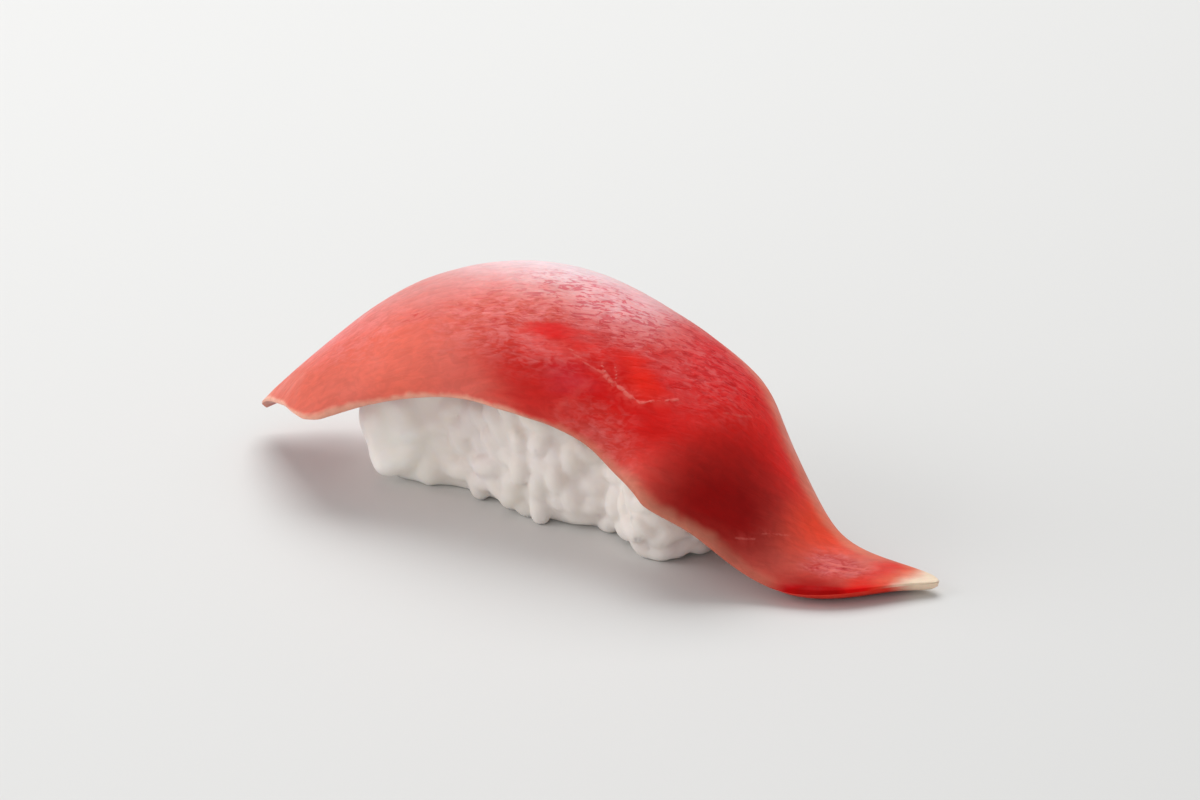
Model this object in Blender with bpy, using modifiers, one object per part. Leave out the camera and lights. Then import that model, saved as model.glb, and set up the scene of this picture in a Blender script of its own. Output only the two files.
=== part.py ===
"""Tuna nigiri: a hand-pressed block of sushi rice with one long slice of raw tuna draped over it.

Metres, +Z up. X runs along the slice, the origin is the middle of the rice block's flat underside.
"""

import math
import random

import bmesh
import bpy
import numpy as np
from mathutils import Matrix, Vector
from mathutils.bvhtree import BVHTree

MM = 0.001
GAP = 0.3 * MM  # clearance between the slice and the rice

# The slice. Each profile is a list of (place along X, value) in millimetres, or degrees for an arch.
CROWN_LINE = ((-41.9, 3.9), (-34, 12.2), (-24.5, 20.4), (-14, 25.2), (-4, 26.4), (6, 24.5), (15, 21),
              (19.5, 18.6), (22.8, 16), (28, 9.1), (31.8, 4.8), (38, 2.7), (46.6, 1.6))
SIDE_DRIFT = ((-41.9, -5.2), (-32, -2.4), (-21, -1), (0, 0), (19, -1), (28, -3), (37, -3.6), (46.6, -1.4))
NEAR_WIDTH = ((-41.9, 0.4), (-41, 2), (-39, 5.1), (-36.5, 9.2), (-34.5, 12.4), (-32.6, 15.8), (-31, 18),
              (-29, 19.1), (-26, 19.2), (-22, 19.5), (-14, 19.7), (-2, 20), (3, 19.5), (8, 18.5), (13, 17.9),
              (18, 18.2), (23.5, 17.7), (28, 13.4), (32, 10.8), (36, 8.9), (40, 6.4), (43.5, 3),
              (45, 1.6), (46, 0.8), (46.6, 0.2))
FAR_WIDTH = ((-41.9, 0.4), (-39, 3.9), (-32, 9), (-21, 14.6), (-7.5, 15.8), (5.5, 15.8), (17, 14.3),
             (22, 12.8), (26.5, 9.4), (30, 7), (34, 4.7), (43.5, 2), (45, 1.5), (46, 0.9), (46.6, 0.2))
NEAR_ARCH = ((-41.9, 5), (-34, 38), (-24.5, 66), (-11, 80), (6, 80), (17, 72), (23.5, 55), (29, 32),
             (38, 10), (46.6, 3))
FAR_ARCH = ((-41.9, 5), (-34, 38), (-24.5, 56), (-11, 72), (6, 72), (17, 60), (24.5, 46), (30, 30),
            (38, 12), (46.6, 3))
THICKNESS = ((-41.9, 0.8), (-40, 1.6), (-34, 3.8), (-21, 5.5), (0, 6.2), (17, 5.8), (28, 4.6), (38, 3.1),
             (43, 1.8), (46, 1.2), (46.6, 0.7))
THICKEST = 6.2 * MM
FOLD_REACH = 4 * MM  # the sides hang square to the crown line's slope over this far each way
ARCH_POWER = 1.15  # above 1 the middle of the slice stays flatter than its sides
RIM_SHARE = 0.2  # thickness left at the very edge, as a share of the middle's
LENS_POWER = 2.6  # how late the slice begins to thin on its way from the crown line to an edge
LENS_ROUNDNESS = 0.55  # 0.5 ends in a half round
ARC_STEPS = 24  # parts in which an arched side is added up
RUN_STEPS = 800  # parts in which the crown line's length is added up
SLICE_ROWS = 48
SLICE_COLUMNS = 18

# The rice block without its outer grains
RICE_LEFT = -26.4 * MM
RICE_RIGHT = 22.4 * MM
RICE_HALF_WIDTH = 11 * MM
RICE_TOP = 22.5 * MM
RICE_BOTTOM = -0.9 * MM  # the table's surface cuts the block flat above this
RICE_WIDEST_AT = 8.5 * MM  # height at which the block is widest
RIGHT_LEAN = 1 * MM  # how far the right end draws in towards the base
LEAN_POWER = 1.5  # above 1 the lean gathers near the base
HIGH_LEAN = 9 * MM  # how far both ends draw in towards the top
# Where the hand that pressed it left dents: how much further out the near side stands along X, in millimetres
NEAR_SWELL = (
    (-27, 1.8), (-22, 1.2), (-18, -0.8), (-12, -3.2), (-4, -1), (2, -0.6),
    (8, -2.8), (12, -0.3), (16, 3.2), (19, 3.6), (22, 3.6),
)
PLAN_POWER = 3.8  # 2 is an oval seen from above, more is boxier
UNDER_POWER = 3.8  # the same for the lower half of the block's section
UPPER_POWER = 2.3
HIGH_FULLNESS = 0.8  # below 1 the ends stay long where the section narrows
LEFT_FOOT_FULLNESS = 0.2
RIGHT_FOOT_FULLNESS = 0.6
RICE_AROUND = 32
RICE_RINGS = 14

# The rough copy of the slice that trims the rice
TRIM_ROWS = 34
TRIM_COLUMNS = 12
TRIM_MARGIN = 0.06 * MM  # beyond the clearance, for the copy's longer facets
TABLE_BOX = (200 * MM, 100 * MM, 20 * MM)  # what lies below the table's surface and trims both pieces
WELD = 0.002 * MM

# One cooked grain, and how the grains lie
GRAIN_LENGTH = 5.6 * MM
GRAIN_WIDTH = 2.9 * MM
GRAIN_DEPTH = 2.5 * MM
GRAIN_TAPER = 0.16  # one end is fuller than the other by this share
GRAIN_SIDES = 6
GRAIN_RINGS = 4
GRAIN_PITCH_ALONG = 4.9 * MM
GRAIN_PITCH_UP = 2.3 * MM
HEART_INSET = 10 * MM  # how far inside the block's ends the line stops that the grains are aimed at
GRAIN_STANDS_OUT = 0.15 * MM  # centre of a grain beyond the block's face
GRAIN_DEPTH_SPREAD = 0.35 * MM
GRAIN_HEIGHT_SPREAD = 0.5 * MM
GRAIN_SWING = 0.75  # radians, spread of the grains' directions on the block's face
GRAIN_SHIFT = 0.25  # a grain's random shift along its row, as a share of the pitch
GRAIN_SIZES = (0.9, 1.12)
GRAIN_SEED = 11
LOWEST_GRAIN = 1.2 * MM
HIGHEST_GRAIN = 16.4 * MM
CUT_THROUGH = 0.45  # a grain's end, as a share of its length, must not reach the slice


def profile(keys, factor=MM):
    """A smooth curve through a profile's points, with no overshoot between them."""
    points = np.array(keys, float)
    at = points[:, 0] * MM
    value = points[:, 1] * factor
    step = np.diff(at)
    rise = np.diff(value) / step
    slope = np.zeros(len(at))
    for i in range(1, len(at) - 1):
        if rise[i - 1] * rise[i] > 0:
            before = 2 * step[i] + step[i - 1]
            after = step[i] + 2 * step[i - 1]
            slope[i] = (before + after) / (before / rise[i - 1] + after / rise[i])
    slope[0], slope[-1] = rise[0], rise[-1]

    def curve(x):
        x = np.clip(x, at[0], at[-1])
        i = np.clip(np.searchsorted(at, x, side="right") - 1, 0, len(at) - 2)
        t = (x - at[i]) / step[i]
        start = (1 + 2 * t) * (1 - t) ** 2 * value[i] + t * (1 - t) ** 2 * step[i] * slope[i]
        end = t * t * (3 - 2 * t) * value[i + 1] + t * t * (t - 1) * step[i] * slope[i + 1]
        return start + end

    return curve


def rounded_line(keys):
    """A curve of even bend through points, for the crown line, which has no kinks."""
    points = np.array(keys, float) * MM
    at, value = points[:, 0], points[:, 1]
    count = len(at)
    step = np.diff(at)
    matrix = np.zeros((count, count))
    load = np.zeros(count)
    matrix[0, 0] = matrix[-1, -1] = 1
    for i in range(1, count - 1):
        matrix[i, i - 1 : i + 2] = step[i - 1], 2 * (step[i - 1] + step[i]), step[i]
        load[i] = 6 * ((value[i + 1] - value[i]) / step[i] - (value[i] - value[i - 1]) / step[i - 1])
    bend = np.linalg.solve(matrix, load)

    def curve(x):
        x = np.clip(x, at[0], at[-1])
        i = np.clip(np.searchsorted(at, x, side="right") - 1, 0, count - 2)
        a = (at[i + 1] - x) / step[i]
        b = 1 - a
        curl = ((a**3 - a) * bend[i] + (b**3 - b) * bend[i + 1]) * step[i] ** 2 / 6
        return a * value[i] + b * value[i + 1] + curl

    return curve


class Drape:
    """The upper face of the slice: a flat strip bent along the crown line and arched down at its sides."""

    def __init__(self):
        self.crown = rounded_line(CROWN_LINE)
        self.drift = profile(SIDE_DRIFT)
        self.width = (profile(NEAR_WIDTH), profile(FAR_WIDTH))
        self.arch = (profile(NEAR_ARCH, math.radians(1)), profile(FAR_ARCH, math.radians(1)))
        self.thickness = profile(THICKNESS)
        x = np.linspace(CROWN_LINE[0][0], CROWN_LINE[-1][0], RUN_STEPS) * MM
        run = np.hypot(np.diff(x), np.diff(self.crown(x)))
        self.x = x
        self.run = np.concatenate(([0], np.cumsum(run)))

    def station(self, along):
        """X of the point at a share of the crown line's length."""
        return float(np.interp(along * self.run[-1], self.run, self.x))

    def point(self, along, across):
        """across is -1 at the near edge, 0 on the crown line and 1 at the far edge."""
        x = self.station(along)
        side = 0 if across < 0 else 1
        width = self.width[side](x)
        steepest = self.arch[side](x)
        share = (np.arange(ARC_STEPS) + 0.5) / ARC_STEPS * abs(across)
        lean = steepest * share**ARCH_POWER
        out = width * abs(across) * np.cos(lean).mean()
        down = width * abs(across) * np.sin(lean).mean()
        before, after = max(x - FOLD_REACH, self.x[0]), min(x + FOLD_REACH, self.x[-1])
        rise = float(self.crown(after) - self.crown(before)) / (after - before)
        normal = np.array((-rise, 1.0)) / math.hypot(rise, 1.0)
        return Vector((
            x - normal[0] * down,
            float(self.drift(x)) + math.copysign(out, across),
            float(self.crown(x)) - normal[1] * down,
        ))

    def thickness_share(self, along, across):
        """Local thickness as a share of the thickest place: the slice thins to a rounded edge."""
        middle = float(self.thickness(self.station(along))) / THICKEST
        return middle * max(RIM_SHARE, (1 - abs(across) ** LENS_POWER) ** LENS_ROUNDNESS)


def material(name, colour, roughness):
    made = bpy.data.materials.new(name)
    made.use_nodes = True
    shader = made.node_tree.nodes["Principled BSDF"]
    shader.inputs["Base Color"].default_value = (*colour, 1)
    shader.inputs["Roughness"].default_value = roughness
    shader.inputs["Metallic"].default_value = 0
    return made


def link(name, mesh, collection):
    made = bpy.data.objects.new(name, mesh)
    collection.objects.link(made)
    return made


def build_slice(drape, name, rows, columns, collection):
    """A grid laid over the rice by the drape's rule, thickened towards its underside."""
    bm = bmesh.new()
    bmesh.ops.create_grid(bm, x_segments=rows, y_segments=columns, size=0.5)
    shares = []
    for vert in bm.verts:
        along = vert.co.x + 0.5
        across = math.sin(vert.co.y * math.pi)  # columns draw together towards both edges
        vert.co = drape.point(along, across)
        shares.append(drape.thickness_share(along, across))
    mesh = bpy.data.meshes.new(name)
    bm.to_mesh(mesh)
    bm.free()
    mesh.shade_smooth()
    made = link(name, mesh, collection)
    group = made.vertex_groups.new(name="thickness")
    for index, share in enumerate(shares):
        group.add([index], share, "REPLACE")
    shell = made.modifiers.new("thickness", "SOLIDIFY")
    shell.thickness = THICKEST
    shell.offset = -1
    shell.vertex_group = group.name
    return made


def build_clearance(drape, collection):
    """The slice again, rougher and grown by the clearance, which trims the rice."""
    made = build_slice(drape, "slice_clearance", TRIM_ROWS, TRIM_COLUMNS, collection)
    grow = made.modifiers.new("clearance", "DISPLACE")
    grow.strength = GAP + TRIM_MARGIN
    grow.mid_level = 0
    return made


def block_half_length(height, right):
    """Half length of the rice block on one side at a height, drawn in towards the base and the top."""
    reach = RICE_RIGHT if right else -RICE_LEFT
    lean = RIGHT_LEAN if right else 0.0
    low = max(0.0, 1 - height / RICE_WIDEST_AT)
    high = max(0.0, (height - RICE_WIDEST_AT) / (RICE_TOP - RICE_WIDEST_AT))
    return reach - lean * low**LEAN_POWER - HIGH_LEAN * high


def signed_power(value, power):
    return math.copysign(abs(value) ** power, value)


def block_point(turn, level, near_swell):
    """A point of the pressed block: a rounded bale, widest a little above its base.

    turn goes once round the block from its +X end, and level is 0 at the base and 1 at the top.
    """
    rise = -math.cos(level * math.pi)
    power = 2 / (UNDER_POWER if rise < 0 else UPPER_POWER)
    ring = max(0.0, math.sin(level * math.pi)) ** power
    reach = RICE_WIDEST_AT - RICE_BOTTOM if rise < 0 else RICE_TOP - RICE_WIDEST_AT
    height = RICE_WIDEST_AT + reach * signed_power(rise, power)
    along = signed_power(math.cos(turn), 2 / PLAN_POWER)
    aside = signed_power(math.sin(turn), 2 / PLAN_POWER)
    right = math.cos(turn) > 0
    foot_fullness = RIGHT_FOOT_FULLNESS if right else LEFT_FOOT_FULLNESS
    fullness = foot_fullness if rise < 0 else HIGH_FULLNESS
    x = block_half_length(height, right) * along * ring**fullness
    half_width = RICE_HALF_WIDTH
    if aside < 0:
        half_width += near_swell(x)
    return Vector((x, half_width * aside * ring, height))


def build_block(collection):
    """The bare block, from a sphere whose points are moved to the bale's form."""
    bm = bmesh.new()
    bmesh.ops.create_uvsphere(bm, u_segments=RICE_AROUND, v_segments=RICE_RINGS, radius=1)
    near_swell = profile(NEAR_SWELL)
    for vert in bm.verts:
        turn = math.atan2(vert.co.y, vert.co.x)
        level = math.acos(max(-1.0, min(1.0, -vert.co.z))) / math.pi
        vert.co = block_point(turn, level, near_swell)
    mesh = bpy.data.meshes.new("rice_block")
    bm.to_mesh(mesh)
    bm.free()
    return link("rice_block", mesh, collection)


def grain_mesh():
    """One cooked short grain: a plump oval, a little fuller at one end and flattened."""
    bm = bmesh.new()
    bmesh.ops.create_uvsphere(bm, u_segments=GRAIN_SIDES, v_segments=GRAIN_RINGS, radius=0.5)
    for vert in bm.verts:
        x, y, z = vert.co
        fuller = 1 + GRAIN_TAPER * z
        vert.co = (z * GRAIN_LENGTH, x * GRAIN_WIDTH * fuller, y * GRAIN_DEPTH * fuller)
    mesh = bpy.data.meshes.new("grain")
    bm.to_mesh(mesh)
    bm.free()
    return mesh


def tree_of(made):
    """A search tree of an object's shape as its modifiers leave it."""
    graph = bpy.context.evaluated_depsgraph_get()
    graph.update()
    return BVHTree.FromObject(made, graph)


def inside(tree, point):
    near, normal, _, _ = tree.find_nearest(point)
    return (point - near).dot(normal) < 0


def girth_point(along, half_length, middle, height):
    """A point beside the block, a distance along the rectangle that encloses it."""
    sides = (
        (2 * half_length, (-1, -1), (1, 0)),
        (2 * RICE_HALF_WIDTH, (1, -1), (0, 1)),
        (2 * half_length, (1, 1), (-1, 0)),
        (2 * RICE_HALF_WIDTH, (-1, 1), (0, -1)),
    )
    along %= sum(length for length, _, _ in sides)
    for length, corner, heading in sides:
        if along <= length:
            break
        along -= length
    x = middle + corner[0] * half_length + heading[0] * along
    y = corner[1] * RICE_HALF_WIDTH + heading[1] * along
    return Vector((x, y, height))


def place_grains(block, clearance, collection):
    """Grains in staggered rows over the block's open sides, each skipped where the slice covers it."""
    draw = random.Random(GRAIN_SEED)
    block_tree = tree_of(block)
    slice_tree = tree_of(clearance)
    mesh = grain_mesh()
    placed = []
    half_length = (RICE_RIGHT - RICE_LEFT) / 2
    middle = (RICE_RIGHT + RICE_LEFT) / 2
    girth = 4 * (half_length + RICE_HALF_WIDTH)
    count = int(girth / GRAIN_PITCH_ALONG)
    rows = int((HIGHEST_GRAIN - LOWEST_GRAIN) / GRAIN_PITCH_UP)
    for row in range(rows):
        for step in range(count):
            along = girth * (step + 0.5 * (row % 2) + draw.uniform(-GRAIN_SHIFT, GRAIN_SHIFT)) / count
            height = LOWEST_GRAIN + row * GRAIN_PITCH_UP + draw.uniform(-1, 1) * GRAIN_HEIGHT_SPREAD
            swing = draw.gauss(0, GRAIN_SWING)
            size = draw.uniform(*GRAIN_SIZES)
            lift = GRAIN_STANDS_OUT + draw.uniform(-1, 1) * GRAIN_DEPTH_SPREAD
            beside = girth_point(along, half_length, middle, height)
            heart = Vector((max(RICE_LEFT + HEART_INSET, min(RICE_RIGHT - HEART_INSET, beside.x)), 0, height))
            inward = heart - beside
            bed, normal, _, _ = block_tree.ray_cast(beside - inward, inward)
            centre = bed + normal * lift
            level = Vector((0, 0, 1)).cross(normal).normalized()
            axis = Matrix.Rotation(swing, 3, normal) @ level
            reach = axis * GRAIN_LENGTH * size * CUT_THROUGH
            if any(inside(slice_tree, centre + share * reach) for share in (-1, 0, 1)):
                continue
            side = normal.cross(axis)
            frame = Matrix((axis, side, normal)).transposed().to_4x4()
            made = link(f"grain_{len(placed):03d}", mesh, collection)
            made.matrix_world = Matrix.Translation(centre) @ frame @ Matrix.Scale(size, 4)
            placed.append(made)
    return placed


def applied(made, name, collection):
    """A new object that holds what the modifiers of another leave, at the origin."""
    graph = bpy.context.evaluated_depsgraph_get()
    graph.update()
    mesh = bpy.data.meshes.new_from_object(made.evaluated_get(graph))
    mesh.transform(made.matrix_world)
    return link(name, mesh, collection)


def boolean(made, operation, operand, whole_collection=False):
    cut = made.modifiers.new(operation.lower(), "BOOLEAN")
    cut.operation = operation
    cut.solver = "EXACT"
    if whole_collection:
        cut.operand_type = "COLLECTION"
        cut.collection = operand
    else:
        cut.object = operand


def keep_largest_piece(mesh):
    """Drops scraps that a cut leaves loose, such as the tip of a grain beside the slice."""
    bm = bmesh.new()
    bm.from_mesh(mesh)
    bmesh.ops.remove_doubles(bm, verts=bm.verts, dist=WELD)
    left = set(bm.verts)
    pieces = []
    while left:
        found = {left.pop()}
        edge = list(found)
        while edge:
            near = {e.other_vert(v) for v in edge for e in v.link_edges} & left
            left -= near
            found |= near
            edge = list(near)
        pieces.append(found)
    pieces.sort(key=len)
    bmesh.ops.delete(bm, geom=[v for piece in pieces[:-1] for v in piece], context="VERTS")
    bm.to_mesh(mesh)
    bm.free()


def table_box(collection):
    """Everything below the table's surface, which trims the flat underside."""
    bpy.ops.mesh.primitive_cube_add(size=1, location=(0, 0, -TABLE_BOX[2] / 2))
    made = bpy.context.object
    made.name = "below_table"
    made.scale = TABLE_BOX
    bpy.ops.object.transform_apply(location=True, rotation=False, scale=True)
    for home in list(made.users_collection):
        home.objects.unlink(made)
    collection.objects.link(made)
    return made


def hide(made):
    made.hide_render = True
    made.display_type = "WIRE"


def remove(objects):
    for made in list(objects):
        bpy.data.objects.remove(made)


def main():
    remove(bpy.data.objects)
    sushi = bpy.data.collections.new("tuna_nigiri")
    helpers = bpy.data.collections.new("cutters")
    loose = bpy.data.collections.new("loose_grains")
    for made in (sushi, helpers, loose):
        bpy.context.scene.collection.children.link(made)

    drape = Drape()
    fish = build_slice(drape, "tuna_slice", SLICE_ROWS, SLICE_COLUMNS, sushi)
    fish.data.materials.append(material("tuna", (0.56, 0.035, 0.028), 0.3))
    clearance = build_clearance(drape, helpers)
    table = table_box(helpers)

    block = build_block(helpers)
    place_grains(block, clearance, loose)
    boolean(block, "UNION", loose, whole_collection=True)
    joined = applied(block, "joined_grains", helpers)
    boolean(joined, "DIFFERENCE", clearance)
    boolean(joined, "DIFFERENCE", table)
    rice = applied(joined, "rice", sushi)
    keep_largest_piece(rice.data)
    rice.data.materials.clear()
    rice.data.materials.append(material("rice", (0.72, 0.7, 0.64), 0.45))
    boolean(fish, "DIFFERENCE", table)

    remove(loose.objects)
    remove((block, joined))
    hide(clearance)
    hide(table)


main()
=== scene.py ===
"""Looks of the tuna nigiri: the moist slice with its fibres and sinews, and the pressed rice.

Metres, +Z up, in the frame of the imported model. The slice follows the same rule as its solid.
"""

import math

import bmesh
import bpy
import numpy as np
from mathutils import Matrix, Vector
from mathutils.bvhtree import BVHTree


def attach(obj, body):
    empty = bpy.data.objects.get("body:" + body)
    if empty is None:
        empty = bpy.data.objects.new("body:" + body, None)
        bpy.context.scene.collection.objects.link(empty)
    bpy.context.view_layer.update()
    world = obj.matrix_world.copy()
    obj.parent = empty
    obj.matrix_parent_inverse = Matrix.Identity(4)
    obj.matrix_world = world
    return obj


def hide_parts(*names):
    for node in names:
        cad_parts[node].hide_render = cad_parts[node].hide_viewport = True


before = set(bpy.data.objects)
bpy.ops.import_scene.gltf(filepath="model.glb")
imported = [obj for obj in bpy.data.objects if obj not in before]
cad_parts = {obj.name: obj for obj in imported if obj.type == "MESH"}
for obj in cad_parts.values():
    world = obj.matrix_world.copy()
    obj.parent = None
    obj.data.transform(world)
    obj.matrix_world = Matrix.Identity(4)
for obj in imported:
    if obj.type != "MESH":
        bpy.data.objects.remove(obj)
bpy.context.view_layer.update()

MM = 0.001

# The drape's rule, as in the solid: (place along X, value) in millimetres, or degrees for an arch
CROWN_LINE = (
    (-41.9, 3.9), (-34, 12.2), (-24.5, 20.4), (-14, 25.2), (-4, 26.4), (6, 24.5), (15, 21),
    (19.5, 18.6), (22.8, 16), (28, 9.1), (31.8, 4.8), (38, 2.7), (46.6, 1.6),
)
SIDE_DRIFT = (
    (-41.9, -5.2), (-32, -2.4), (-21, -1), (0, 0), (19, -1), (28, -3), (37, -3.6), (46.6, -1.4),
)
NEAR_WIDTH = (
    (-41.9, 0.4), (-41, 2), (-39, 5.1), (-36.5, 9.2), (-34.5, 12.4), (-32.6, 15.8), (-31, 18),
    (-29, 19.1), (-26, 19.2), (-22, 19.5), (-14, 19.7), (-2, 20), (3, 19.5), (8, 18.5),
    (13, 17.9), (18, 18.2), (23.5, 17.7), (28, 13.4), (32, 10.8), (36, 8.9), (40, 6.4),
    (43.5, 3), (45, 1.6), (46, 0.8), (46.6, 0.2),
)
FAR_WIDTH = (
    (-41.9, 0.4), (-39, 3.9), (-32, 9), (-21, 14.6), (-7.5, 15.8), (5.5, 15.8), (17, 14.3),
    (22, 12.8), (26.5, 9.4), (30, 7), (34, 4.7), (43.5, 2), (45, 1.5), (46, 0.9), (46.6, 0.2),
)
NEAR_ARCH = (
    (-41.9, 5), (-34, 38), (-24.5, 66), (-11, 80), (6, 80), (17, 72), (23.5, 55), (29, 32),
    (38, 10), (46.6, 3),
)
FAR_ARCH = (
    (-41.9, 5), (-34, 38), (-24.5, 56), (-11, 72), (6, 72), (17, 60), (24.5, 46), (30, 30),
    (38, 12), (46.6, 3),
)
THICKNESS = (
    (-41.9, 0.8), (-40, 1.6), (-34, 3.8), (-21, 5.5), (0, 6.2), (17, 5.8), (28, 4.6),
    (38, 3.1), (43, 1.8), (46, 1.2), (46.6, 0.7),
)
FOLD_REACH = 4 * MM
ARCH_POWER = 1.15
RIM_SHARE = 0.24
LENS_POWER = 2.6
LENS_ROUNDNESS = 0.55
ARC_STEPS = 24
RUN_STEPS = 800

# The slice's mesh
SLICE_ROWS = 460
TOP_COLUMNS = 150
UNDER_COLUMNS = 44
LIP_SHARE = 0.6  # how much of the rim's thickness the upper face takes to round itself off
SKIN_INSET = 0.07 * MM  # keeps the relief within the solid's box
HIGHEST_RELIEF = 0.06 * MM
TABLE_GAP = 0.02 * MM  # how far every piece stays above the table

# The muscle fibres, on the slice laid flat in millimetres
FIBRE_TURN_START = 0.28  # share of the length where they begin to turn
FIBRE_TURN = 133.0
FIBRE_WAVE = 0.8  # how far they sway
FIBRE_WAVE_LENGTH = 7.0
FIBRE_UV_SIZE = 100  # millimetres to one unit of the fibre coordinates

# Marks on the slice laid flat
OVAL_LENGTH, OVAL_WIDTH = 105, 20  # millimetres to the full along and across, for the ovals
SINEW_REACH = 20.0  # in half widths, beyond which a place counts as far from every sinew
TAIL_END = (0.862, 0.885)  # shares of the length over which the near edge turns from pale to red
CREAM_END = (0.962, 0.985)  # and those over which the tail turns to cream

# The rice block, as in the solid, and its grains
RICE_LEFT = -27.0 * MM
RICE_RIGHT = 22.4 * MM
RICE_HALF_WIDTH = 11 * MM
RICE_TOP = 22.5 * MM
RICE_BOTTOM = -0.9 * MM
RICE_WIDEST_AT = 8.5 * MM
RIGHT_LEAN = 1 * MM
LEFT_LEAN = 1.6 * MM
LEAN_POWER = 1.2
HIGH_LEAN = 9 * MM
NEAR_SWELL = (
    (-27, 1.8), (-22, 1.2), (-18, -0.8), (-12, -3.2), (-4, -1), (2, -0.6),
    (8, -2.8), (12, -0.3), (16, 3.2), (19, 3.6), (22, 3.6),
)
PLAN_POWER = 3.8
UNDER_POWER = 3.8
UPPER_POWER = 2.3
HIGH_FULLNESS = 0.8
LEFT_FOOT_FULLNESS = 0.2
RIGHT_FOOT_FULLNESS = 0.6
CORE_AROUND = 144
CORE_RINGS = 72
CORE_INSET = 0.5 * MM
CORE_UNDER_SLICE = 0.45 * MM
CORE_LUMPS = 0.45  # millimetres
CORE_AXIS_ENDS = (-18 * MM, 14 * MM)  # the line inside the block from which it is pressed outwards
CORE_AXIS_HEIGHT = 7 * MM
GRAIN_LENGTH = 4.5 * MM
GRAIN_WIDTH = 2.6 * MM
GRAIN_DEPTH = 2.2 * MM
GRAIN_TAPER = 0.16
GRAIN_BLUNTNESS = 0.86
GRAIN_BEND = 0.10
GRAIN_SPACING = 2.05 * MM
GRAIN_SEED = 21
GRAIN_SINK = 0.45 * MM
GRAIN_TILT = 0.5  # radians, either way
GRAIN_PLACES_TRIED = 900000.0  # per square metre
CLEAR_OF_SLICE = 0.75 * MM
PASTE_VOXEL = 0.3 * MM
PASTE_SMOOTHING = 9
PASTE_FLOW = 0.6
PASTE_COVER = 0.14 * MM  # how far the film stands over the smoothed grains
PASTE_COVER_LEFT = 0.5 * MM
PRESSED_PART = (-20 * MM, -7 * MM)  # left of this the rice is pressed smooth
PRESSED_ROUNDS = 28
FEWEST_AT_LEFT = 0.65  # share of the grains that stand out there
# painted light: how much lighter the pressed left of the rice is painted, where the slice's
# overhang shades it
PRESSED_PAINTED_LIGHT = 0.21
BLUSH_REACH = 1.6 * MM  # how far the fish tints the rice below it
BLUSH_STRENGTH = 0.45

# The photograph's view
IMAGE_WIDTH, IMAGE_HEIGHT = 1200, 800
VIEW_AZIMUTH, VIEW_ELEVATION = 33, 24
VIEW_DISTANCE = 0.45
PIXELS_PER_M = 8730
FOOT_PIXEL = (584, 495)  # where the origin shows
SENSOR_WIDTH = 36

# The studio
FLOOR_REACH = 3
FLOOR_COLOUR = (0.72, 0.72, 0.71, 1)
ROOM_LIGHT = 0.40
LIGHT_AIM = (0, 0, 0.01)
LIGHTS = (  # name, place, size, power
    ("top_softbox", (-0.25, 0.30, 0.62), (0.6, 0.6), 4.0),
    ("left_softbox", (-0.55, -0.35, 0.26), (0.5, 0.5), 2.15),
    ("front_fill", (0.10, -0.70, 0.16), (0.7, 0.4), 0.8),
)


def profile(keys, factor=MM):
    """A smooth curve through a profile's points, with no overshoot between them."""
    points = np.array(keys, float)
    at = points[:, 0] * MM
    value = points[:, 1] * factor
    step = np.diff(at)
    rise = np.diff(value) / step
    slope = np.zeros(len(at))
    for i in range(1, len(at) - 1):
        if rise[i - 1] * rise[i] > 0:
            before = 2 * step[i] + step[i - 1]
            after = step[i] + 2 * step[i - 1]
            slope[i] = (before + after) / (before / rise[i - 1] + after / rise[i])
    slope[0], slope[-1] = rise[0], rise[-1]

    def curve(x):
        x = np.clip(x, at[0], at[-1])
        i = np.clip(np.searchsorted(at, x, side="right") - 1, 0, len(at) - 2)
        t = (x - at[i]) / step[i]
        start = (1 + 2 * t) * (1 - t) ** 2 * value[i] + t * (1 - t) ** 2 * step[i] * slope[i]
        end = t * t * (3 - 2 * t) * value[i + 1] + t * t * (t - 1) * step[i] * slope[i + 1]
        return start + end

    return curve


def rounded_line(keys):
    """A curve of even bend through points, for the crown line, which has no kinks."""
    points = np.array(keys, float) * MM
    at, value = points[:, 0], points[:, 1]
    count = len(at)
    step = np.diff(at)
    matrix = np.zeros((count, count))
    load = np.zeros(count)
    matrix[0, 0] = matrix[-1, -1] = 1
    for i in range(1, count - 1):
        matrix[i, i - 1 : i + 2] = step[i - 1], 2 * (step[i - 1] + step[i]), step[i]
        before = (value[i] - value[i - 1]) / step[i - 1]
        load[i] = 6 * ((value[i + 1] - value[i]) / step[i] - before)
    bend = np.linalg.solve(matrix, load)

    def curve(x):
        x = np.clip(x, at[0], at[-1])
        i = np.clip(np.searchsorted(at, x, side="right") - 1, 0, count - 2)
        a = (at[i + 1] - x) / step[i]
        b = 1 - a
        curl = ((a**3 - a) * bend[i] + (b**3 - b) * bend[i + 1]) * step[i] ** 2 / 6
        return a * value[i] + b * value[i + 1] + curl

    return curve


def soft_noise(x, y, seed):
    """Smooth random hills about one unit across, from -1 to 1."""
    table = np.random.default_rng(seed).uniform(-1, 1, (256, 256))
    left, low = np.floor(x).astype(int), np.floor(y).astype(int)
    across, up = x - left, y - low
    across = across * across * (3 - 2 * across)
    up = up * up * (3 - 2 * up)

    def corner(i, j):
        return table[(left + i) % 256, (low + j) % 256]

    lower = corner(0, 0) * (1 - across) + corner(1, 0) * across
    upper = corner(0, 1) * (1 - across) + corner(1, 1) * across
    return lower * (1 - up) + upper * up


def layered_noise(x, y, seed, layers=3):
    total = 0
    for layer in range(layers):
        total = total + soft_noise(x * 2**layer, y * 2**layer, seed + layer) / 2**layer
    return total / 1.75


def ease(value, start, end):
    """0 at start, 1 at end, smooth between them."""
    t = np.clip((value - start) / (end - start), 0, 1)
    return t * t * (3 - 2 * t)


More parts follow.
